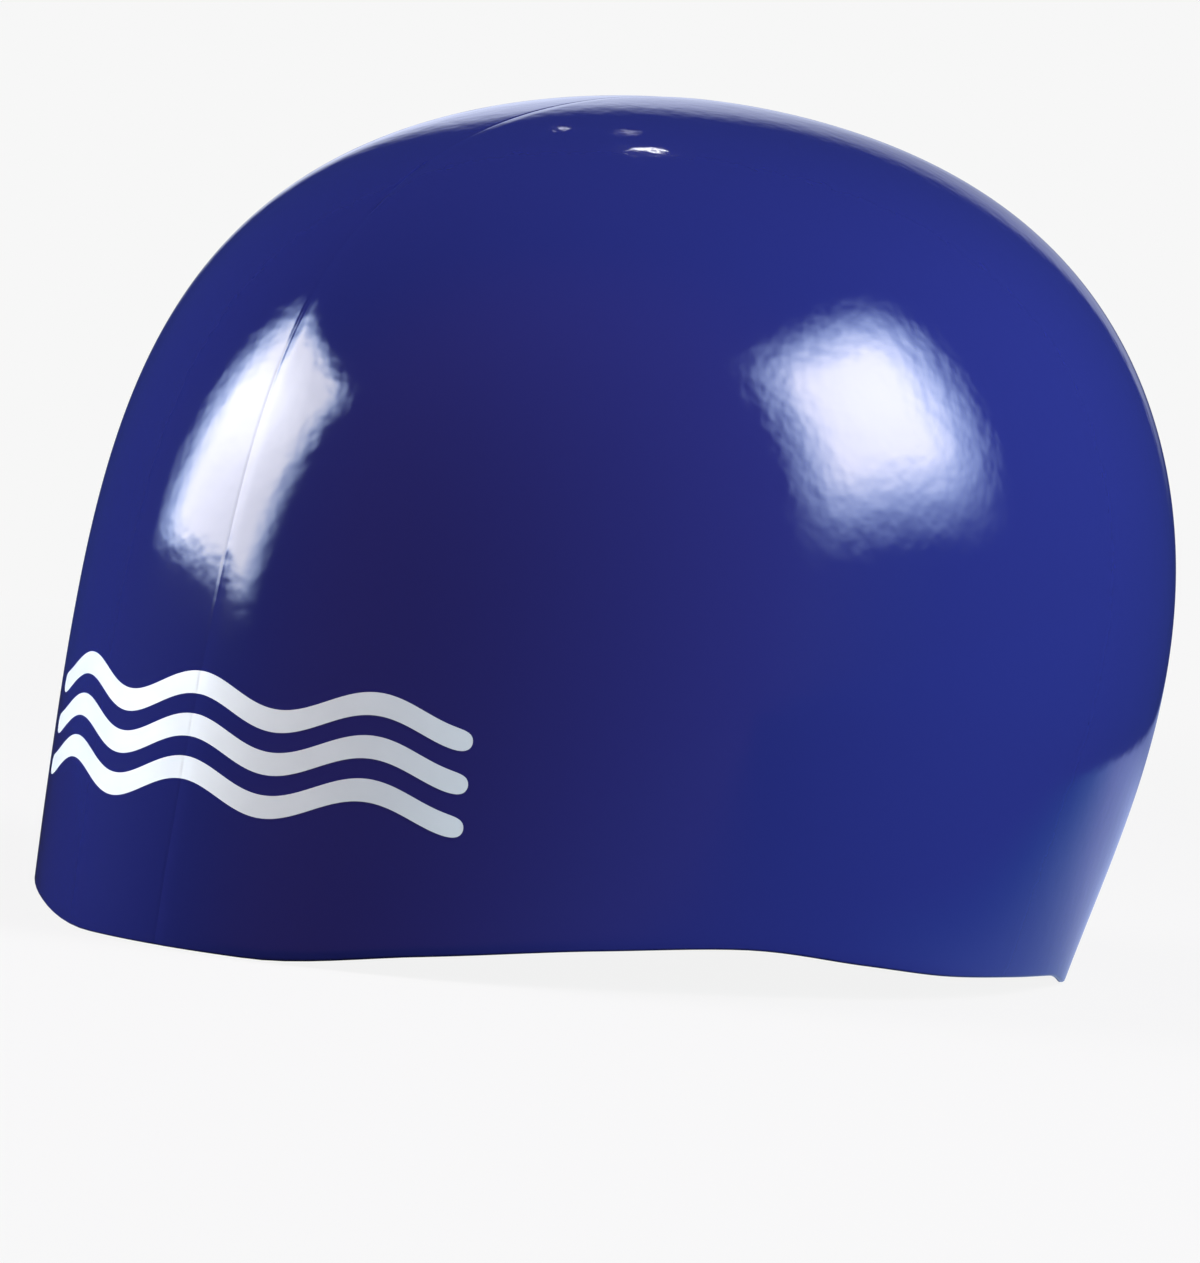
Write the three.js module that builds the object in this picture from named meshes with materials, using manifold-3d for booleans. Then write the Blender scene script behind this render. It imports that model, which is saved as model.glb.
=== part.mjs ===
// A racing swim cap moulded in one piece of silicone, standing on its rim as it holds its own shape off the head.
// Millimetres, +Z up. The forehead faces -Y, the wearer's left side is +X, and the rim rests on z = 0.
import * as THREE from "three";
import { mergeVertices } from "three/addons/utils/BufferGeometryUtils.js";
import Module from "manifold-3d";

const manifoldModule = await Module();
manifoldModule.setup();

// Driving sizes of the dome
const capLength = 200; // forehead to the back of the head
const capWidth = 156; // over the ears
const capHeight = 134; // floor to crown
const crownRadiusAlong = 160; // bend of the crown from front to back
const crownRadiusAcross = 101; // bend of the crown from ear to ear
const crownWall = 1.3; // silicone at the crown
const rimWall = 1.0; // silicone at the rim, where the wall thins to seal on the skin
const templeArch = 7.4; // how far the rim arches off the floor over the temples

// Driving sizes of the raised line that the two halves of the mould leave down the middle
const partingLineWidth = 0.6;
const partingLineHeight = 0.2;
const partingLineRoot = 0.4; // how deep the line's root reaches into the wall

// Fineness of the faceted wall
const meridianCount = 64;
const ringCount = 26;
const tangentStep = 1e-4; // radians

// Level sections of the dome. drop is the share of capHeight below the crown, and the other columns are the
// wall's reach from the crown's axis, as shares of the oval that is capLength by capWidth.
const sections = [
  { drop: 0.25, front: 0.822, frontQuarter: 0.845, side: 0.862, rearQuarter: 0.833, rear: 0.817 },
  { drop: 0.5, front: 0.956, frontQuarter: 0.985, side: 0.991, rearQuarter: 0.962, rear: 0.94 },
  { drop: 0.75, front: 1.014, frontQuarter: 1.018, side: 0.989, rearQuarter: 0.937, rear: 0.919 },
  { drop: 1, front: 1.053, frontQuarter: 1.02, side: 0.943, rearQuarter: 0.829, rear: 0.77 },
];

// The rim round one half of the head. angle is in degrees from the forehead, and rise is the rim's height off
// the floor as a share of templeArch. The cap rests on its forehead and on its nape.
const rimRises = [
  { angle: 0, rise: 0 },
  { angle: 9, rise: 0 },
  { angle: 24, rise: 0.42 },
  { angle: 39, rise: 0.81 },
  { angle: 54, rise: 1 },
  { angle: 69, rise: 0.75 },
  { angle: 84, rise: 0.51 },
  { angle: 99, rise: 0.42 },
  { angle: 114, rise: 0.32 },
  { angle: 129, rise: 0 },
  { angle: 180, rise: 0 },
];

// An even, smooth curve round the head through values that are equally spaced from forehead to nape.
function roundTheHead(values, angle) {
  const last = values.length - 1;
  const weight = (i) => (i === 0 || i === last ? 0.5 : 1);
  let height = 0;
  for (let wave = 0; wave <= last; wave++) {
    let share = 0;
    values.forEach((value, i) => {
      share += weight(i) * value * Math.cos((Math.PI * i * wave) / last);
    });
    height += (2 / last) * weight(wave) * share * Math.cos(wave * angle);
  }
  return height;
}

// The one smooth curve through a few values at the given stations.
function throughStations(stations, values, at) {
  return values.reduce((sum, value, i) => {
    const weight = stations.reduce(
      (product, station, j) => (j === i ? product : (product * (at - station)) / (stations[i] - station)),
      1,
    );
    return sum + value * weight;
  }, 0);
}

// The rim's height at an angle from the forehead: a smooth curve through the table that never overshoots it.
function rimHeight(angle) {
  const round = Math.abs(THREE.MathUtils.euclideanModulo(angle + Math.PI, 2 * Math.PI) - Math.PI);
  const degrees = THREE.MathUtils.radToDeg(round);
  const row = Math.min(
    rimRises.findLastIndex(({ angle: start }) => start <= degrees),
    rimRises.length - 2,
  );
  const slopeAfter = (i) =>
    (rimRises[i + 1].rise - rimRises[i].rise) / (rimRises[i + 1].angle - rimRises[i].angle);
  const slopeAt = (i) => {
    if (i === 0 || i === rimRises.length - 1) return 0;
    const [before, after] = [slopeAfter(i - 1), slopeAfter(i)];
    return before * after > 0 ? (2 * before * after) / (before + after) : 0;
  };
  const [low, high] = [rimRises[row], rimRises[row + 1]];
  const span = high.angle - low.angle;
  const s = (degrees - low.angle) / span;
  const rise =
    low.rise * (1 + 2 * s) * (1 - s) ** 2 +
    span * slopeAt(row) * s * (1 - s) ** 2 +
    high.rise * s * s * (3 - 2 * s) +
    span * slopeAt(row + 1) * s * s * (s - 1);
  return templeArch * rise;
}

// The outer face. fall runs from 0 at the crown to a right angle at the floor, as on a round dome, and the
// sections swell or draw in that dome. The crown's own section follows from its two radii.
function outerFace(fall, angle) {
  const [across, along] = [Math.sin(angle), Math.cos(angle)];
  const crownSwell = Math.sqrt(capHeight / (across ** 2 / crownRadiusAcross + along ** 2 / crownRadiusAlong));
  const ovalReach = 1 / Math.hypot(along / (capLength / 2), across / (capWidth / 2));
  const swells = sections.map(({ drop, ...reaches }) => {
    const roundReach = Math.sqrt(drop * (2 - drop));
    return (ovalReach * roundTheHead(Object.values(reaches), angle)) / roundReach;
  });
  const drops = [0, ...sections.map(({ drop }) => drop)];
  const reach = Math.sin(fall) * throughStations(drops, [crownSwell, ...swells], 1 - Math.cos(fall));
  return new THREE.Vector3(reach * across, -reach * along, capHeight * Math.cos(fall));
}

// A point at a depth under the outer face, or above it where depth is negative. Depth is measured square to the
// wall, but the point is shifted on the line from the dome's middle, so that the rim is cut level.
function wallPoint(fall, angle, depth) {
  const face = outerFace(fall, angle);
  const inward = new THREE.Vector3(
    -Math.sin(fall) * Math.sin(angle),
    Math.sin(fall) * Math.cos(angle),
    -Math.cos(fall),
  );
  if (fall === 0) return face.addScaledVector(inward, depth);
  const downTangent = outerFace(fall + tangentStep, angle).sub(face);
  const sideTangent = outerFace(fall, angle + tangentStep).sub(face);
  const normal = downTangent.cross(sideTangent).normalize();
  return face.addScaledVector(inward, depth / -inward.dot(normal));
}

// The point of the wall on one ring of a meridian, at a depth. Ring 0 is the crown and the last one is the rim.
function ringPoint(ring, angle, depth) {
  const rim = rimHeight(angle);
  const fall = (Math.acos(rim / capHeight) * ring) / ringCount;
  const point = wallPoint(fall, angle, depth);
  if (ring === ringCount) point.z = rim;
  return point;
}

// How thick the wall is at a ring: it thins evenly from crown to rim.
function wallAt(ring) {
  return THREE.MathUtils.lerp(crownWall, rimWall, ring / ringCount);
}

// A closed body from its points and the corners of its triangles.
function solidFrom(points, triangles) {
  const geometry = new THREE.BufferGeometry().setFromPoints(points).setIndex(triangles.flat());
  const merged = mergeVertices(geometry);
  return new manifoldModule.Manifold(
    new manifoldModule.Mesh({
      numProp: 3,
      vertProperties: merged.attributes.position.array,
      triVerts: new Uint32Array(merged.index.array),
    }),
  );
}

// The dome's wall: an outer and an inner skin, joined by the level cut of the rim.
function domeWall() {
  const points = [];
  const triangles = [];
  const skinStart = (skin) => skin * (ringCount * meridianCount + 1);
  const corner = (skin, ring, meridian) =>
    ring === 0 ? skinStart(skin) : skinStart(skin) + 1 + (ring - 1) * meridianCount + (meridian % meridianCount);

  for (const skin of [0, 1]) {
    points.push(ringPoint(0, 0, skin * wallAt(0)));
    for (let ring = 1; ring <= ringCount; ring++)
      for (let meridian = 0; meridian < meridianCount; meridian++)
        points.push(ringPoint(ring, (2 * Math.PI * meridian) / meridianCount, skin * wallAt(ring)));
  }

  for (let meridian = 0; meridian < meridianCount; meridian++) {
    for (let ring = 0; ring < ringCount; ring++)
      for (const skin of [0, 1]) {
        const [upper, upperNext] = [corner(skin, ring, meridian), corner(skin, ring, meridian + 1)];
        const [lower, lowerNext] = [corner(skin, ring + 1, meridian), corner(skin, ring + 1, meridian + 1)];
        const faces = [[upper, lower, lowerNext]];
        if (ring > 0) faces.push([upper, lowerNext, upperNext]);
        triangles.push(...(skin === 0 ? faces : faces.map((face) => face.toReversed())));
      }
    const [outer, outerNext] = [corner(0, ringCount, meridian), corner(0, ringCount, meridian + 1)];
    const [inner, innerNext] = [corner(1, ringCount, meridian), corner(1, ringCount, meridian + 1)];
    triangles.push([outer, inner, innerNext], [outer, innerNext, outerNext]);
  }
  return solidFrom(points, triangles);
}

// The parting line: a low, narrow strip over the middle of the cap, from the rim at the forehead to the nape.
function partingLine() {
  const stations = [];
  for (let ring = ringCount; ring > 0; ring--) stations.push([ring, 0]);
  for (let ring = 0; ring <= ringCount; ring++) stations.push([ring, Math.PI]);

  const halfWidth = new THREE.Vector3(partingLineWidth / 2, 0, 0);
  const points = stations.flatMap(([ring, angle]) => {
    const crest = ringPoint(ring, angle, -partingLineHeight).setX(0);
    const root = ringPoint(ring, angle, partingLineRoot).setX(0);
    return [
      root.clone().sub(halfWidth),
      root.clone().add(halfWidth),
      crest.clone().add(halfWidth),
      crest.clone().sub(halfWidth),
    ];
  });

  const triangles = [
    [0, 1, 2],
    [0, 2, 3],
  ];
  for (let station = 0; station < stations.length - 1; station++)
    for (let side = 0; side < 4; side++) {
      const [here, beside] = [4 * station + side, 4 * station + ((side + 1) % 4)];
      triangles.push([here, here + 4, beside + 4], [here, beside + 4, beside]);
    }
  const end = 4 * (stations.length - 1);
  triangles.push([end, end + 2, end + 1], [end, end + 3, end + 2]);
  return solidFrom(points, triangles);
}

// Glossy royal blue silicone
const silicone = new THREE.MeshStandardMaterial({ color: 0x1b2a8a, roughness: 0.2, metalness: 0 });

// The one piece, with its origin under the middle of its length and width
function capShell() {
  const solid = domeWall().add(partingLine()).getMesh();
  const geometry = new THREE.BufferGeometry()
    .setAttribute("position", new THREE.BufferAttribute(solid.vertProperties, solid.numProp))
    .setIndex(new THREE.BufferAttribute(solid.triVerts, 1));
  geometry.computeVertexNormals();
  geometry.computeBoundingBox();
  const middle = geometry.boundingBox.getCenter(new THREE.Vector3());

  const mesh = new THREE.Mesh(geometry, silicone);
  mesh.name = "cap_shell";
  mesh.position.set(0, -middle.y, 0);
  return mesh;
}

const swimCap = new THREE.Group();
swimCap.add(capShell());

export default swimCap;
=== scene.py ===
import math

import bpy
from mathutils import Matrix, Vector


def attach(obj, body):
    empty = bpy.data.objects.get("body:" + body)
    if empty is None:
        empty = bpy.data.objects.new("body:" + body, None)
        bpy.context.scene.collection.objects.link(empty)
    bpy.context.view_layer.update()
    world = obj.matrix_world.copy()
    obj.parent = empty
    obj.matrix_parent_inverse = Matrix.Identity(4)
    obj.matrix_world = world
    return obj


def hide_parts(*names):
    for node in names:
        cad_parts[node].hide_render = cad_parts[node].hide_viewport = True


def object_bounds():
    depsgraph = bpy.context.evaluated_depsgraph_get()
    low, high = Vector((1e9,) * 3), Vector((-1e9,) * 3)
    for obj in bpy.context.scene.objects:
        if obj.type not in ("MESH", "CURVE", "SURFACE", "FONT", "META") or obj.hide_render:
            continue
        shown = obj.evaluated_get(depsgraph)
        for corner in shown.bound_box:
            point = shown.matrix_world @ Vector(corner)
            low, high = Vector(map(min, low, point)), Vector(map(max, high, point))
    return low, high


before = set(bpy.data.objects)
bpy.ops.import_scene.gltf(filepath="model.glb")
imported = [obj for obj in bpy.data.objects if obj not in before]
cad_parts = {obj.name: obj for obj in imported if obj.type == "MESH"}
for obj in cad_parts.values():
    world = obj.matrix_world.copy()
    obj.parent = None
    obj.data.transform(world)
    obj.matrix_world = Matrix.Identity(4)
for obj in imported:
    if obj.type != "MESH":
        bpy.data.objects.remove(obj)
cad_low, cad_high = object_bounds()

# The cap shell is the whole cap: one skin of royal blue silicone, pressed and cured between two polished
# mould halves and a core. It is a deep dome, a little thicker at the crown than at the rim, which is trimmed
# level and rests on the forehead and the nape. The mould halves leave a fine parting line down the middle.

cap_length = 0.200
cap_width = 0.156
cap_height = 0.134
crown_radius_along = 0.160
crown_radius_across = 0.101
crown_wall = 0.0013
rim_wall = 0.0010
temple_arch = 0.0074
rim_rounding = 0.0004
parting_line_stock = 0.0002
groove_width = 0.0010
groove_depth = 0.000042
step_width = 0.0021
step_height = 0.0001
step_fade = 0.016

# Level sections of the dome: the drop below the crown as a share of cap_height, then the wall's reach from
# the crown's axis at forehead, front quarter, side, rear quarter and nape, as shares of the length by width
# oval.
sections = [
    (0.25, (0.822, 0.845, 0.862, 0.833, 0.817)),
    (0.50, (0.956, 0.985, 0.991, 0.962, 0.940)),
    (0.75, (1.014, 1.018, 0.989, 0.937, 0.919)),
    (1.00, (1.053, 1.020, 0.943, 0.829, 0.770)),
]

# The rim round one half of the head: degrees from the forehead, and the rise off the floor as a share of
# temple_arch.
rim_rises = [
    (0, 0), (9, 0), (24, 0.42), (39, 0.81), (54, 1), (69, 0.75), (84, 0.51), (99, 0.42), (114, 0.32),
    (129, 0), (180, 0),
]

# The crown stands behind the middle of the cap, because the forehead is fuller than the back of the head.
crown_place = cad_low.y + parting_line_stock + sections[-1][1][0] * cap_length / 2


def feed(tree, entry, value):
    """Gives a node's entry a fixed number, or the result of other nodes."""
    if isinstance(value, Formula):
        tree.links.new(value.socket, entry)
    elif isinstance(value, bpy.types.NodeSocket):
        tree.links.new(value, entry)
    else:
        entry.default_value = value


class Formula:
    """A number at every point of a mesh, so that the mould's rules can be written as plain arithmetic."""

    def __init__(self, tree, socket):
        self.tree, self.socket = tree, socket

    def with_(self, operation, *others):
        """The result of a math node that takes this number and the others."""
        node = self.tree.nodes.new("ShaderNodeMath")
        node.operation = operation
        for entry, value in zip(node.inputs, (self, *others)):
            feed(self.tree, entry, value)
        return Formula(self.tree, node.outputs["Value"])

    def __add__(self, other):
        return self.with_("ADD", other)

    def __mul__(self, other):
        return self.with_("MULTIPLY", other)

    def __sub__(self, other):
        return self.with_("SUBTRACT", other)

    def __truediv__(self, other):
        return self.with_("DIVIDE", other)

    def __pow__(self, other):
        return self.with_("POWER", other)

    def __rsub__(self, other):
        return self * -1 + other

    __radd__ = __add__
    __rmul__ = __mul__

    def clamped(self):
        return self.with_("MAXIMUM", 0).with_("MINIMUM", 1)


def cosine_waves(values):
    """The strengths of the cosine waves that pass through values spaced evenly from forehead to nape."""
    last = len(values) - 1
    weight = [0.5 if i in (0, last) else 1 for i in range(last + 1)]
    return [
        2 / last * weight[k]
        * sum(weight[i] * v * math.cos(math.pi * i * k / last) for i, v in enumerate(values))
        for k in range(last + 1)
    ]


def new_tree(name, numbers, geometry=True):
    """A node tree with an entry for each named number, and its group input and output."""
    tree = bpy.data.node_groups.new(name, "GeometryNodeTree")
    if geometry:
        tree.interface.new_socket("Geometry", in_out="INPUT", socket_type="NodeSocketGeometry")
        tree.interface.new_socket("Geometry", in_out="OUTPUT", socket_type="NodeSocketGeometry")
    for number in numbers:
        tree.interface.new_socket(number, in_out="INPUT", socket_type="NodeSocketFloat")
    return tree, tree.nodes.new("NodeGroupInput"), tree.nodes.new("NodeGroupOutput")


dome_sizes = {
    "Length": cap_length,
    "Width": cap_width,
    "Height": cap_height,
    "Crown radius along": crown_radius_along,
    "Crown radius across": crown_radius_across,
    "Crown place": crown_place,
    "Groove width": groove_width,
    "Groove depth": groove_depth,
    "Step width": step_width,
    "Step height": step_height,
    "Step fade": step_fade,
}


def wall_rule():
    """The node group that places a point of the wall. Fall runs from 0 at the crown to a right angle at the
    floor, Angle is counted from the forehead, and Depth is how far the point lies under the outer face."""
    entries = ["Fall", "Angle", "Depth", "Line share", *dome_sizes]
    tree, given, result = new_tree("wall_rule", entries, geometry=False)
    tree.interface.new_socket("Position", in_out="OUTPUT", socket_type="NodeSocketVector")

    def number(name):
        return Formula(tree, given.outputs[name])

    fall, angle = number("Fall"), number("Angle")
    across, along = angle.with_("SINE"), angle.with_("COSINE")
    down, level = fall.with_("SINE"), fall.with_("COSINE")
    drop = 1 - level

    # The crown's section follows from its two radii, and each lower section from its row of the table.
    bend = across * across / number("Crown radius across") + along * along / number("Crown radius along")
    swells = [(number("Height") / bend).with_("SQRT")]
    oval = (along / number("Length") * 2) ** 2 + (across / number("Width") * 2) ** 2
    oval_reach = oval.with_("INVERSE_SQRT")
    waves = [(angle * k).with_("COSINE") for k in range(len(sections[0][1]))]
    for row_drop, reaches in sections:
        strengths = cosine_waves(reaches)
        share = sum((waves[k] * strengths[k] for k in range(1, len(waves))), strengths[0])
        swells.append(oval_reach * share / math.sqrt(row_drop * (2 - row_drop)))

    # One smooth curve runs down through the sections.
    drops = [0] + [row_drop for row_drop, reaches in sections]
    reach = 0
    for i, swell in enumerate(swells):
        for j, other in enumerate(drops):
            if j != i:
                swell = swell * (drop - other) / (drops[i] - other)
        reach = swell + reach
    reach = reach * down

    # The parting line is a shallow groove. The left half of the mould stood a hair proud of the right one, so
    # the skin steps up beside the groove, and comes level again over a longer way.
    sideways = reach * across
    groove = (1 - sideways.with_("ABSOLUTE") * 2 / number("Groove width")).clamped()
    step = (sideways / number("Step width")).clamped()
    level_again = ((sideways - number("Step width")) / number("Step fade")).clamped()
    step = step * step * (3 - 2 * step) * (1 - level_again * level_again * (3 - 2 * level_again))
    rise = step * number("Step height") - groove * number("Groove depth")
    depth = number("Depth") - rise * number("Line share")

    place = tree.nodes.new("ShaderNodeCombineXYZ")
    feed(tree, place.inputs["X"], (reach - depth * down) * across)
    feed(tree, place.inputs["Y"], number("Crown place") - (reach - depth * down) * along)
    feed(tree, place.inputs["Z"], (number("Height") - depth) * level)
    tree.links.new(place.outputs["Vector"], result.inputs["Position"])
    return tree


the_wall_rule = wall_rule()


def wall_point(tree, fall, angle, depth, line_share, given):
    """Adds the wall rule to a tree, with the dome's sizes taken from the tree's own entries."""
    node = tree.nodes.new("GeometryNodeGroup")
    node.node_tree = the_wall_rule
    for name, value in (("Fall", fall), ("Angle", angle), ("Depth", depth), ("Line share", line_share)):
        feed(tree, node.inputs[name], value)
    for name in dome_sizes:
        tree.links.new(given.outputs[name], node.inputs[name])
    return node.outputs["Position"]


def rim_height(degrees, arch):
    """The rim's height at an angle from the forehead: a smooth curve through the table without overshoot."""
    slopes = [(b[1] - a[1]) / (b[0] - a[0]) for a, b in zip(rim_rises, rim_rises[1:])]
    slope_at = [0] * len(rim_rises)
    for i in range(1, len(slopes)):
        if slopes[i - 1] * slopes[i] > 0:
            slope_at[i] = 2 * slopes[i - 1] * slopes[i] / (slopes[i - 1] + slopes[i])
    rise = 0
    for i, (low, high) in enumerate(zip(rim_rises, rim_rises[1:])):
        if low[1] == high[1] == 0:
            continue
        span = high[0] - low[0]
        s = ((degrees - low[0]) / span).clamped()
        left = 1 - s
        step = (
            s * left * left * (slope_at[i] * span)
            - s * s * left * (slope_at[i + 1] * span)
            + s * s * (3 - 2 * s) * (high[1] - low[1])
        )
        rise = step + rise
    return rise * arch


def evaluated_piece(name, mesh, tree, values, material):
    """Runs a tree over a flat pattern and keeps the result as a plain mesh, in an object of its own."""
    holder = bpy.data.objects.new(name + "_pattern", mesh)
    bpy.context.scene.collection.objects.link(holder)
    modifier = holder.modifiers.new(name, "NODES")
    modifier.node_group = tree
    for item in tree.interface.items_tree:
        if item.in_out == "INPUT" and item.name in values:
            modifier[item.identifier] = values[item.name]
    graph = bpy.context.evaluated_depsgraph_get()
    made = bpy.data.meshes.new_from_object(holder.evaluated_get(graph), depsgraph=graph)
    bpy.data.objects.remove(holder)
    piece = bpy.data.objects.new(name, made)
    made.materials.clear()
    made.materials.append(material)
    bpy.context.scene.collection.objects.link(piece)
    return piece


def finish_tree(tree, geometry, result, material):
    """Ends a tree: smooth shading, realized instances and the material."""
    smooth = tree.nodes.new("GeometryNodeSetShadeSmooth")
    realized = tree.nodes.new("GeometryNodeRealizeInstances")
    painted = tree.nodes.new("GeometryNodeSetMaterial")
    painted.inputs["Material"].default_value = material
    for node in (smooth, realized, painted):
        tree.links.new(geometry, node.inputs["Geometry"])
        geometry = node.outputs["Geometry"]
    tree.links.new(geometry, result.inputs["Geometry"])


def dome_tree(material):
    """The tree that moulds the flat pattern into the dome with its rim and parting line."""
    entries = [*dome_sizes, "Crown wall", "Rim wall", "Rim rounding", "Temple arch"]
    tree, given, result = new_tree("moulded_dome", entries)

    def number(name):
        return Formula(tree, given.outputs[name])

    def pattern(name):
        node = tree.nodes.new("GeometryNodeInputNamedAttribute")
        node.data_type = "FLOAT"
        node.inputs["Name"].default_value = name
        return Formula(tree, node.outputs["Attribute"])

    angle, fall_share, inside = pattern("angle"), pattern("fall_share"), pattern("inside")
    rim = rim_height(angle.with_("ABSOLUTE").with_("DEGREES"), number("Temple arch"))
    lift = pattern("edge_up") * number("Rim rounding")
    fall = ((rim + lift) / number("Height")).with_("ARCCOSINE") * fall_share
    wall = number("Crown wall") + (number("Rim wall") - number("Crown wall")) * fall_share
    depth = inside * wall + pattern("edge_in") * number("Rim rounding")
    moved = tree.nodes.new("GeometryNodeSetPosition")
    tree.links.new(given.outputs["Geometry"], moved.inputs["Geometry"])
    tree.links.new(wall_point(tree, fall, angle, depth, 1 - inside, given), moved.inputs["Position"])
    finish_tree(tree, moved.outputs["Geometry"], result, material)
    return tree


# The flat pattern's columns run round the head. They crowd together at the parting line, and are even
# elsewhere.
finest_column = 0.03
column_growth = 1.22
widest_column = 2.0


def quarter_columns():
    """The columns of a quarter turn in degrees, from the parting line to the side."""
    angles, step = [0], finest_column
    while angles[-1] + step < 90 - step / 2:
        angles.append(angles[-1] + step)
        step = min(step * column_growth, widest_column)
    return [a * 90 / (angles[-1] + step) for a in angles]


quarter = quarter_columns()
quarter_back = [90, *quarter[:0:-1]]
columns = quarter + [180 - a for a in quarter_back] + [a - 180 for a in quarter] + [-a for a in quarter_back]

# Its rows run from the crown down the outer face, round the trimmed rim, and up the inner face to the crown.
# Each has the share of the fall to the rim, 0 for the outer face or 1 for the inner one, and the place on the
# rounded edge as shares of rim_rounding: in from the face, and up from the cut.
outer_rows = 132
inner_rows = 60
crown_rows = [0.0008, 0.0016, 0.0026, 0.0042]
edge_steps = 5


def pattern_rows():
    """Every row's four numbers, in the order that is told above."""
    outer = crown_rows + [(i + 1) / outer_rows for i in range(outer_rows)]
    rows = [(share, 0, 0, 1) for share in outer]
    turns = [math.pi / 2 * (i + 1) / edge_steps for i in range(edge_steps)]
    rows += [(1, 0, 1 - math.cos(turn), 1 - math.sin(turn)) for turn in turns]
    rows += [(1, 1, math.cos(turn) - 1, 1 - math.sin(turn)) for turn in reversed(turns)]
    return rows + [(i / inner_rows, 1, 0, 1) for i in range(inner_rows, 0, -1)]


def dome_pattern():
    """The flat pattern as a closed net: a crown point, the rows, and the crown's inner point."""
    rows = pattern_rows()
    count = len(columns)
    values = {"angle": [0], "fall_share": [0], "inside": [0], "edge_in": [0], "edge_up": [1]}
    places = [(0, 0, 0)]
    for number, row in enumerate(rows):
        for column in columns:
            angle = math.radians(column)
            places.append((angle, number + 1, 0))
            for name, value in zip(values, (angle, *row)):
                values[name].append(value)
    places.append((0, len(rows) + 1, 0))
    for name, value in zip(values, (0, 0, 1, 0, 1)):
        values[name].append(value)

    faces = []
    last = len(places) - 1
    for c in range(count):
        d = (c + 1) % count
        faces.append((0, 1 + c, 1 + d))
        for r in range(len(rows) - 1):
            here, below = 1 + r * count, 1 + (r + 1) * count
            faces.append((here + c, below + c, below + d, here + d))
        final = 1 + (len(rows) - 1) * count
        faces.append((final + c, last, final + d))
    mesh = bpy.data.meshes.new("cap_shell")
    mesh.from_pydata(places, [], faces)
    for name, numbers in values.items():
        mesh.attributes.new(name, "FLOAT", "POINT").data.foreach_set("value", numbers)
    return mesh


silicone_blue = (0.0125, 0.0156, 0.1005, 1)
silicone_ior = 1.45
silicone_gloss = 0.065
inside_gloss = 0.42
gloss_mottle = 0.03
gloss_mottle_scale = 24
skin_depth = 0.0001
skin_strength = 0.5
skin_scale = 300
fine_skin_scale = 900
fine_skin_share = 0.12
calm_below = 0.054
calm_fade = 0.03
calm_skin = 0.4


def blue_silicone():
    """Glossy pressed silicone: an even pigment, a faint orange-peel skin, and a duller face inside."""
    material = bpy.data.materials.new("blue_silicone")
    material.use_nodes = True
    tree = material.node_tree
    shader = tree.nodes["Principled BSDF"]
    shader.inputs["Base Color"].default_value = silicone_blue
    shader.inputs["IOR"].default_value = silicone_ior

    place = tree.nodes.new("ShaderNodeTexCoord").outputs["Object"]

    def noise(scale, detail):
        node = tree.nodes.new("ShaderNodeTexNoise")
        node.inputs["Scale"].default_value = scale
        node.inputs["Detail"].default_value = detail
        tree.links.new(place, node.inputs["Vector"])
        return Formula(tree, node.outputs["Fac"])

    inside = tree.nodes.new("ShaderNodeAttribute")
    inside.attribute_name = "inside"
    inside = Formula(tree, inside.outputs["Fac"])
    mottle = (noise(gloss_mottle_scale, 3) - 0.5) * gloss_mottle
    feed(tree, shader.inputs["Roughness"], mottle + silicone_gloss + inside * (inside_gloss - silicone_gloss))

    # The skin is calmer low on the cap, where the mould is polished best.
    parts = tree.nodes.new("ShaderNodeSeparateXYZ")
    tree.links.new(place, parts.inputs["Vector"])
    up_the_cap = ((Formula(tree, parts.outputs["Z"]) - calm_below) / calm_fade).clamped()
    skin = noise(skin_scale, 1) + noise(fine_skin_scale, 0) * fine_skin_share
    skin = skin * (up_the_cap * (1 - calm_skin) + calm_skin)
    bump = tree.nodes.new("ShaderNodeBump")
    bump.inputs["Strength"].default_value = skin_strength
    bump.inputs["Distance"].default_value = skin_depth
    feed(tree, bump.inputs["Height"], skin)
    tree.links.new(bump.outputs["Normal"], shader.inputs["Normal"])
    return material


silicone = blue_silicone()
dome_values = {
    **dome_sizes,
    "Crown wall": crown_wall,
    "Rim wall": rim_wall,
    "Rim rounding": rim_rounding,
    "Temple arch": temple_arch,
}
cap_shell = evaluated_piece("cap_skin", dome_pattern(), dome_tree(silicone), dome_values, silicone)
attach(cap_shell, "root")
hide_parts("cap_shell")


# The front print is a film of white ink, padded onto the finished cap over the forehead. It is three plain
# waves, laid on the curved face and over the parting line, as thin as printed ink is.

print_length = 0.093
print_middle = 0.031
wave_count = 3
wave_spacing = 0.0064
wave_thickness = 0.0034
wave_swing = 0.0021
wave_lengths = 3
ink_film = 0.00005
forehead_reach = 0.101
print_columns = 401
print_rows = 9
end_roundness = 50
middle_crowding = 0.25


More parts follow.
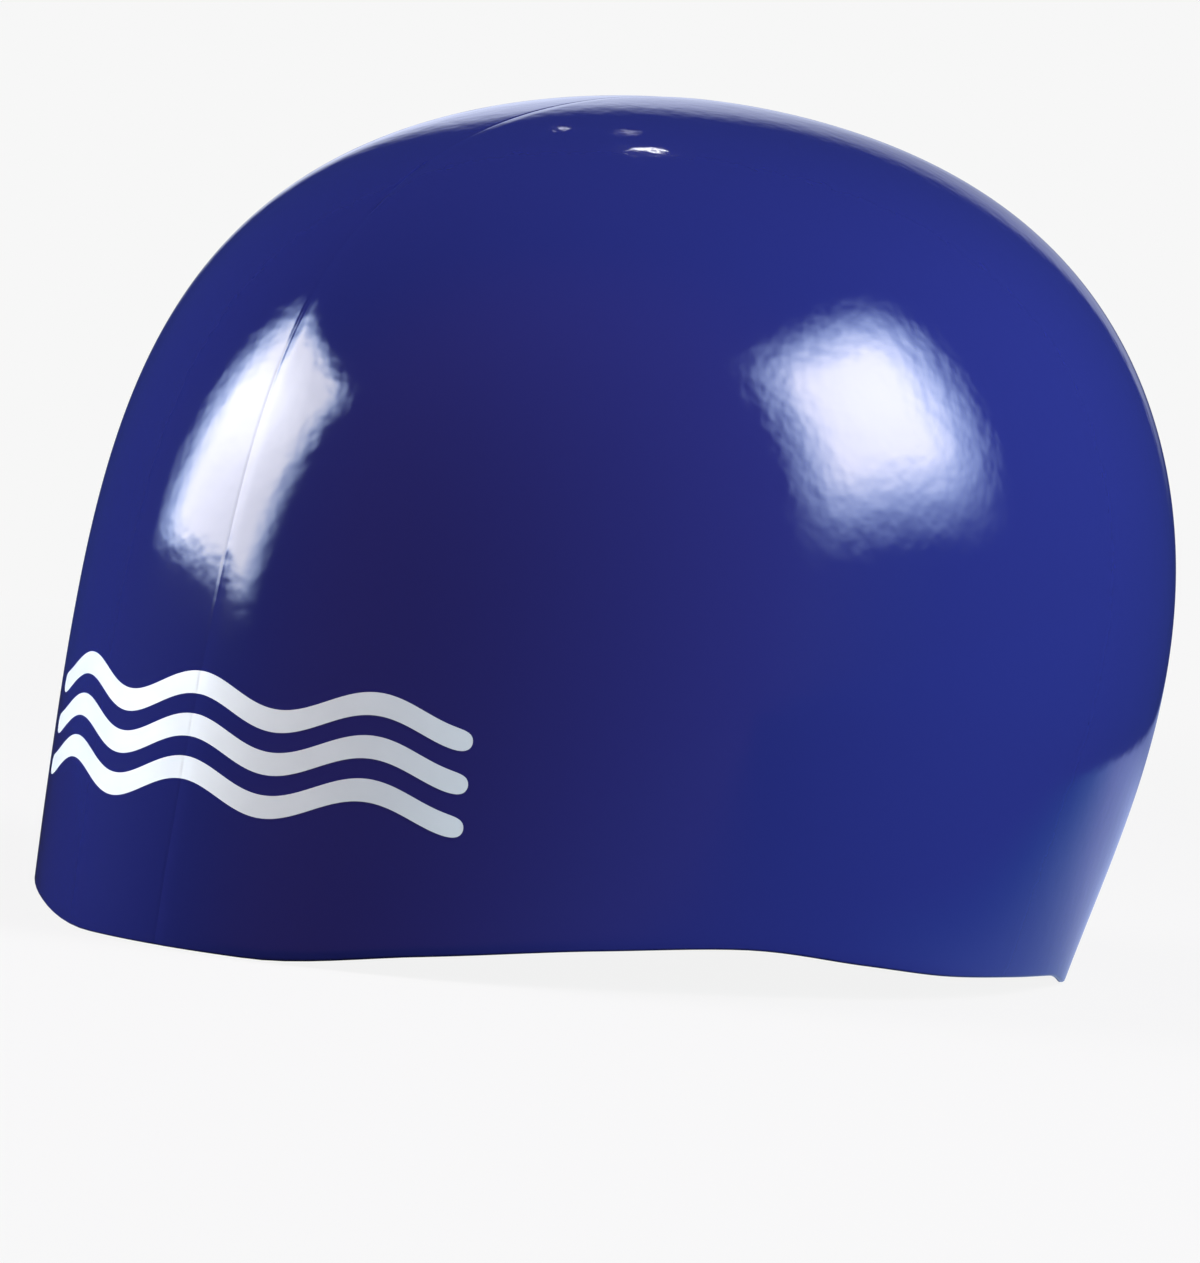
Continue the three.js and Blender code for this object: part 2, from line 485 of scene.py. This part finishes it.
def print_tree(material):
    """The tree that draws the waves flat, repeats them, and wraps them onto the outer face."""
    sizes = [
        *dome_sizes, "Print length", "Print middle", "Wave spacing", "Wave thickness", "Wave swing",
        "Wave lengths", "Forehead reach", "Ink film",
    ]
    tree, given, result = new_tree("front_print", sizes)

    def number(name):
        return Formula(tree, given.outputs[name])

    grid = tree.nodes.new("GeometryNodeMeshGrid")
    grid.inputs["Size X"].default_value = 2
    grid.inputs["Size Y"].default_value = 2
    grid.inputs["Vertices X"].default_value = print_columns
    grid.inputs["Vertices Y"].default_value = print_rows
    line = tree.nodes.new("GeometryNodeMeshLine")
    line.inputs["Count"].default_value = wave_count
    line.inputs["Start Location"].default_value = (0, 0, -(wave_count - 1) / 2)
    line.inputs["Offset"].default_value = (0, 0, 1)
    copies = tree.nodes.new("GeometryNodeInstanceOnPoints")
    tree.links.new(line.outputs["Mesh"], copies.inputs["Points"])
    tree.links.new(grid.outputs["Mesh"], copies.inputs["Instance"])
    flat = tree.nodes.new("GeometryNodeRealizeInstances")
    tree.links.new(copies.outputs["Instances"], flat.inputs["Geometry"])

    position = tree.nodes.new("GeometryNodeInputPosition")
    parts = tree.nodes.new("ShaderNodeSeparateXYZ")
    tree.links.new(position.outputs["Position"], parts.inputs["Vector"])
    run, side, row = (Formula(tree, parts.outputs[axis]) for axis in "XYZ")

    # The columns crowd together at the rounded ends and over the parting line.
    eased = (run * (math.pi / 2)).with_("SINE")
    share = eased * (eased * eased * (1 - middle_crowding) + middle_crowding)
    along = share * number("Print length") * 0.5
    fullness = (1 - share.with_("ABSOLUTE") ** end_roundness).with_("MAXIMUM", 0).with_("SQRT")
    swing = (share * number("Wave lengths") * math.pi).with_("COSINE") * number("Wave swing")
    height = (
        number("Print middle")
        + row * number("Wave spacing")
        + swing
        + side * fullness * number("Wave thickness") * 0.5
    )
    fall = (height / number("Height")).with_("ARCCOSINE")
    angle = along / number("Forehead reach")
    moved = tree.nodes.new("GeometryNodeSetPosition")
    tree.links.new(flat.outputs["Geometry"], moved.inputs["Geometry"])
    outer = wall_point(tree, fall, angle, number("Ink film") * -1, 1, given)
    tree.links.new(outer, moved.inputs["Position"])
    finish_tree(tree, moved.outputs["Geometry"], result, material)
    return tree


ink_dark = (0.61, 0.635, 0.59, 1)
ink_light = (0.75, 0.775, 0.72, 1)
ink_gloss = 0.38
ink_mottle_scale = 90


def white_ink():
    """Matt white silicone ink, with a faint mottle where the pad laid it down unevenly."""
    material = bpy.data.materials.new("white_ink")
    material.use_nodes = True
    tree = material.node_tree
    shader = tree.nodes["Principled BSDF"]
    noise = tree.nodes.new("ShaderNodeTexNoise")
    noise.inputs["Scale"].default_value = ink_mottle_scale
    noise.inputs["Detail"].default_value = 4
    tree.links.new(tree.nodes.new("ShaderNodeTexCoord").outputs["Object"], noise.inputs["Vector"])
    tone = tree.nodes.new("ShaderNodeMix")
    tone.data_type = "RGBA"
    tree.links.new(noise.outputs["Fac"], tone.inputs["Factor"])
    tone.inputs["A"].default_value = ink_dark
    tone.inputs["B"].default_value = ink_light
    tree.links.new(tone.outputs["Result"], shader.inputs["Base Color"])
    shader.inputs["Roughness"].default_value = ink_gloss
    return material


ink = white_ink()
print_values = {
    **dome_sizes,
    "Print length": print_length,
    "Print middle": print_middle,
    "Wave spacing": wave_spacing,
    "Wave thickness": wave_thickness,
    "Wave swing": wave_swing,
    "Wave lengths": wave_lengths,
    "Forehead reach": forehead_reach,
    "Ink film": ink_film,
}
front_print = evaluated_piece(
    "front_print", bpy.data.meshes.new("front_print"), print_tree(ink), print_values, ink
)
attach(front_print, "root")


# The studio's floor is a pale paper sweep. The cap doesn't mirror all of it: a lit sheet lies behind the cap
# and shows in the nape, a faint warm glow lies in front, and past them the room is dark.

floor_half = 8
floor_drop = 0.0002
studio_white = 0.93
lit_share = 0.06
fade_start = 0.25
fade_end = 0.9
paper_shade = (0.038, 0.034, 0.032, 1)
room_light = 0.02

# Where the lit sheet, its whiter heart and bluer rim, and the glows begin and end on the floor, in metres.
sheet_front = (-0.02, 0.03)
sheet_right = (-0.1, 0.05)
sheet_right_slant = 1.5
sheet_corner = (0.345, 0.375)
sheet_near_fade = (0.05, 0.17)
sheet_near_light = 0.8
sheet_far_fade = (0.27, 0.47)
sheet_far_light = 0.5
heart_side = (0.035, 0.12)
rim_side = (0.06, 0.16)
front_edge = (-0.1, 0)
front_side = (0, 0.25)
behind_edge = (0.2, 0.5)

# What each of them adds to the light that the cap mirrors, in red, green and blue.
heart_light = (0.42, 0.29, 0.44)
rim_light = (0.03, 0.26, 0.46)
front_light = (0.16, 0.07, 0.13)
behind_light = (0, 0.01, 0.09)


def smooth_step(value, start, end):
    """Rises from 0 at the start to 1 at the end, with no kink at either."""
    s = ((value - start) / (end - start)).clamped()
    return s * s * (3 - 2 * s)


def compass(azimuth, elevation):
    """The direction at an azimuth, counted from the forehead towards the left ear, and an elevation."""
    a, e = math.radians(azimuth), math.radians(elevation)
    return Vector((math.sin(a) * math.cos(e), -math.cos(a) * math.cos(e), math.sin(e)))


def room_colour(tree, zones):
    """The dim room's light with each zone's share of its own light added."""
    colour = tree.nodes.new("ShaderNodeCombineColor")
    for channel, entry in enumerate(("Red", "Green", "Blue")):
        feed(tree, colour.inputs[entry], sum((share * light[channel] for share, light in zones), room_light))
    return colour.outputs["Color"]


def floor_paper():
    """White paper. The camera sees it evenly lit, but for a faint shadow under the cap."""
    material = bpy.data.materials.new("floor_paper")
    material.use_nodes = True
    tree = material.node_tree
    tree.nodes.clear()
    place = tree.nodes.new("ShaderNodeSeparateXYZ")
    tree.links.new(tree.nodes.new("ShaderNodeTexCoord").outputs["Object"], place.inputs["Vector"])
    x, y = Formula(tree, place.outputs["X"]), Formula(tree, place.outputs["Y"])
    far = smooth_step((x * x + y * y).with_("SQRT"), fade_start, fade_end)

    paper = tree.nodes.new("ShaderNodeBsdfDiffuse")
    paper.inputs["Color"].default_value = paper_shade
    even = tree.nodes.new("ShaderNodeEmission")
    feed(tree, even.inputs["Strength"], (far * lit_share + (1 - lit_share)) * studio_white)
    near = tree.nodes.new("ShaderNodeMixShader")
    feed(tree, near.inputs["Fac"], far)
    tree.links.new(paper.outputs["BSDF"], near.inputs[1])
    seen = tree.nodes.new("ShaderNodeAddShader")
    tree.links.new(near.outputs["Shader"], seen.inputs[0])
    tree.links.new(even.outputs["Emission"], seen.inputs[1])

    sheet = smooth_step(y, *sheet_front) * smooth_step(x * sheet_right_slant + y, *sheet_right)
    sheet = sheet * (1 - smooth_step(x + y, *sheet_corner))
    sheet = sheet * (smooth_step(y, *sheet_near_fade) * (1 - sheet_near_light) + sheet_near_light)
    sheet = sheet * (1 - smooth_step(y, *sheet_far_fade) * (1 - sheet_far_light))
    zones = [
        (sheet * (1 - smooth_step(x, *heart_side)), heart_light),
        (sheet * (1 - smooth_step(x, *rim_side)), rim_light),
        ((1 - smooth_step(y, *front_edge)) * smooth_step(x, *front_side), front_light),
        (smooth_step(y, *behind_edge), behind_light),
    ]
    mirrored = tree.nodes.new("ShaderNodeEmission")
    tree.links.new(room_colour(tree, zones), mirrored.inputs["Color"])
    show(tree, mirrored, seen)
    return material


def show(tree, mirrored, seen, output="ShaderNodeOutputMaterial"):
    """Ends a studio surface that looks one way to the camera and another to what stands before it."""
    rays = tree.nodes.new("ShaderNodeLightPath")
    mix = tree.nodes.new("ShaderNodeMixShader")
    tree.links.new(rays.outputs["Is Camera Ray"], mix.inputs["Fac"])
    tree.links.new(mirrored.outputs[0], mix.inputs[1])
    tree.links.new(seen.outputs[0], mix.inputs[2])
    tree.links.new(mix.outputs["Shader"], tree.nodes.new(output).inputs["Surface"])


floor_mesh = bpy.data.meshes.new("floor")
floor_corners = [(-1, -1), (1, -1), (1, 1), (-1, 1)]
floor_mesh.from_pydata([(x * floor_half, y * floor_half, 0) for x, y in floor_corners], [], [(0, 1, 2, 3)])
floor_mesh.materials.append(floor_paper())
floor = bpy.data.objects.new("floor", floor_mesh)
floor.location.z = -floor_drop
bpy.context.scene.collection.objects.link(floor)

# The studio's background is white to the camera. The cap mirrors only a lit panel of it, behind the cap as
# the camera sees it, as a narrow pale band along the crown. Its edges are in degrees from its middle and the
# horizon.

background_azimuth = -139
background_left = 8
background_left_blur = 3
background_right = -16
background_right_blur = 2
background_low = 2.5
background_low_blur = 2.5
background_high = 27.5
background_high_fade = (-10, 1)
background_slant = 0.45
background_slant_start = -2
background_light = 0.36
background_hot_spot = 0.55
background_hot_edge = (-7, 3)
background_colour = (1.0, 1.08, 1.3)
glow_azimuth = 40
glow_elevation = 15
glow_edge = (0.2, 0.8)
glow_light = (0.16, 0.05, 0.13)


def studio_world():
    """The background as the camera sees it, and as the cap mirrors it."""
    world = bpy.data.worlds.new("studio")
    world.use_nodes = True
    tree = world.node_tree
    tree.nodes.clear()
    plain = tree.nodes.new("ShaderNodeBackground")
    plain.inputs["Color"].default_value = (1, 1, 1, 1)
    plain.inputs["Strength"].default_value = studio_white
    place = tree.nodes.new("ShaderNodeSeparateXYZ")
    tree.links.new(tree.nodes.new("ShaderNodeTexCoord").outputs["Generated"], place.inputs["Vector"])
    x, y, z = (Formula(tree, place.outputs[axis]) for axis in "XYZ")
    middle = compass(background_azimuth, 0)
    turn = (y * middle.x - x * middle.y).with_("ARCTAN2", x * middle.x + y * middle.y) * (180 / math.pi)
    height = z.with_("ARCSINE") * (180 / math.pi)

    def beyond(value, edge, blur):
        return smooth_step(value, edge - blur, edge + blur)

    top = (turn - background_slant_start).with_("MINIMUM", 0) * background_slant + background_high
    lit = beyond(turn, background_right, background_right_blur)
    lit = lit * (1 - beyond(turn, background_left, background_left_blur))
    lit = lit * beyond(height, background_low, background_low_blur)
    lit = lit * (1 - smooth_step(height - top, *background_high_fade))
    lit = lit * (smooth_step(turn, *background_hot_edge) * background_hot_spot + background_light)
    facing = compass(glow_azimuth, glow_elevation)
    zones = [
        (lit, background_colour),
        (smooth_step(x * facing.x + y * facing.y + z * facing.z, *glow_edge), glow_light),
        (smooth_step(x * middle.x + y * middle.y, *glow_edge), behind_light),
    ]
    room = tree.nodes.new("ShaderNodeBackground")
    tree.links.new(room_colour(tree, zones), room.inputs["Color"])
    show(tree, room, plain, "ShaderNodeOutputWorld")
    return world


bpy.context.scene.world = studio_world()
bpy.context.scene.view_settings.view_transform = "Standard"


# Two softboxes stand to the sides in front of the cap, and are mirrored as its two large highlights. Their
# cloth is bluer at the edge than in the middle.

lamps_aim = Vector((0, crown_place, 0.07))
softbox_distance = 1.25
softbox_edge = (0.60, 0.80, 1.2, 1)
softbox_heart = (0.97, 0.98, 1.03, 1)
softbox_margin = 1.3


def put_lamp(name, light, azimuth, elevation, distance, facing, roll=0):
    """Stands a lamp at a compass direction and distance from the cap. Facing is where its back points to."""
    lamp = bpy.data.objects.new(name, light)
    lamp.location = lamps_aim + compass(azimuth, elevation) * distance
    turned = compass(*facing).to_track_quat("Z", "Y").to_matrix() @ Matrix.Rotation(roll, 3, "Z")
    lamp.rotation_euler = turned.to_euler()
    lamp.visible_camera = False
    bpy.context.scene.collection.objects.link(lamp)
    return lamp


def softbox(
    name, azimuth, elevation, facing, roll, width, height, lean, sides, top, foot, hot_spot, hot_size, fade,
    watts,
):
    """A softbox whose cloth glows most at its hot spot. Facing is the compass direction that its back points
    to, lean slants the glow, and sides, top and foot say where it ends and where it is full, as shares of
    its size."""
    light = bpy.data.lights.new(name, "AREA")
    light.shape = "RECTANGLE"
    light.size, light.size_y = width * softbox_margin, height * softbox_margin
    light.energy = watts * softbox_margin ** 2
    light.use_nodes = True
    tree = light.node_tree
    place = tree.nodes.new("ShaderNodeSeparateXYZ")
    tree.links.new(tree.nodes.new("ShaderNodeNewGeometry").outputs["Parametric"], place.inputs["Vector"])
    across, upward = ((Formula(tree, place.outputs[axis]) * 2 - 1) * softbox_margin for axis in "XY")
    across = across - upward * lean
    off = ((across - hot_spot[0]) ** 2 + (upward - hot_spot[1]) ** 2).with_("SQRT")
    edge = smooth_step(across.with_("ABSOLUTE"), *sides)
    edge = edge * smooth_step(upward, *top) * smooth_step(upward, *foot)
    glow = edge * (1 - smooth_step(off, 0, hot_size) * fade)
    colour = tree.nodes.new("ShaderNodeMix")
    colour.data_type = "RGBA"
    colour.inputs["A"].default_value = softbox_edge
    colour.inputs["B"].default_value = softbox_heart
    feed(tree, colour.inputs["Factor"], edge * edge)
    emission = tree.nodes["Emission"]
    tree.links.new(colour.outputs["Result"], emission.inputs["Color"])
    feed(tree, emission.inputs["Strength"], glow)
    put_lamp(name, light, azimuth, elevation, softbox_distance, facing, roll)


softbox(
    "left_softbox", azimuth=-41.9, elevation=24.3, facing=(-67.4, 16.3), roll=0.134, width=1.09, height=0.63,
    lean=0.25, sides=(1, 0.5), top=(1.16, 0.72), foot=(-1, -0.86), hot_spot=(-0.15, 0), hot_size=0.9,
    fade=0.3, watts=49,
)
softbox(
    "right_softbox", azimuth=109.2, elevation=33.8, facing=(129.3, 24.9), roll=-0.126, width=1.11,
    height=1.08, lean=-0.064, sides=(0.99, 0.29), top=(0.96, 0.28), foot=(-1.02, -0.38), hot_spot=(0, 0),
    hot_size=1.1, fade=0.25, watts=90,
)

# Three small bare lamps high at the back are mirrored as the glints on the crown. Each row has a name,
# azimuth, elevation, width, height and watts.

back_lamp_distance = 1.6
back_lamps = [
    ("back_lamp_low", -132.8, 39, 0.010, 0.014, 0.0025),
    ("back_lamp_middle", -138.1, 41.6, 0.035, 0.008, 0.004),
    ("back_lamp_high", -141.4, 51, 0.085, 0.018, 0.08),
]

for name, azimuth, elevation, width, height, watts in back_lamps:
    light = bpy.data.lights.new(name, "AREA")
    light.shape = "RECTANGLE"
    light.size, light.size_y = width, height
    light.energy = watts
    lamp = put_lamp(name, light, azimuth, elevation, back_lamp_distance, (azimuth, elevation))
    lamp.visible_diffuse = False

# Two wide panels stand low at the sides and even out the light, without showing in the gloss. Each row has a
# name, azimuth, elevation, watts and colour.

fill_distance = 1.6
fill_width = 0.8
fill_panels = [
    ("left_fill", -72, 2, 19, (0.60, 0.80, 1.2)),
    ("right_fill", 105, 3, 22, (0.60, 1.05, 1.25)),
]

for name, azimuth, elevation, watts, colour in fill_panels:
    light = bpy.data.lights.new(name, "AREA")
    light.size = fill_width
    light.energy = watts
    light.color = colour
    lamp = put_lamp(name, light, azimuth, elevation, fill_distance, (azimuth, elevation))
    lamp.visible_glossy = False


# The camera stands at the photograph's angle, a little above the floor, and is rolled as the photograph is.

camera_azimuth = 40.94
camera_elevation = 2.877
camera_roll = 5.183
camera_distance = 1.3
aim_height = 0.070
aim_right = -0.006851
aim_up = -0.021318
camera_lens = 233.62

back = compass(camera_azimuth, camera_elevation)
level_right = compass(camera_azimuth + 90, 0)
level_up = back.cross(level_right)
roll = math.radians(camera_roll)
right = level_right * math.cos(roll) + level_up * math.sin(roll)
up = level_up * math.cos(roll) - level_right * math.sin(roll)
aim = Vector((0, crown_place, aim_height)) + level_right * aim_right + level_up * aim_up
camera_data = bpy.data.cameras.new("camera")
camera_data.lens = camera_lens
camera_data.sensor_width = 36
camera_data.clip_start = 0.1
camera_data.clip_end = 100
camera = bpy.data.objects.new("camera", camera_data)
turned = Matrix((right, up, back)).transposed().to_4x4()
camera.matrix_world = Matrix.Translation(aim + back * camera_distance) @ turned
bpy.context.scene.collection.objects.link(camera)
bpy.context.scene.camera = camera
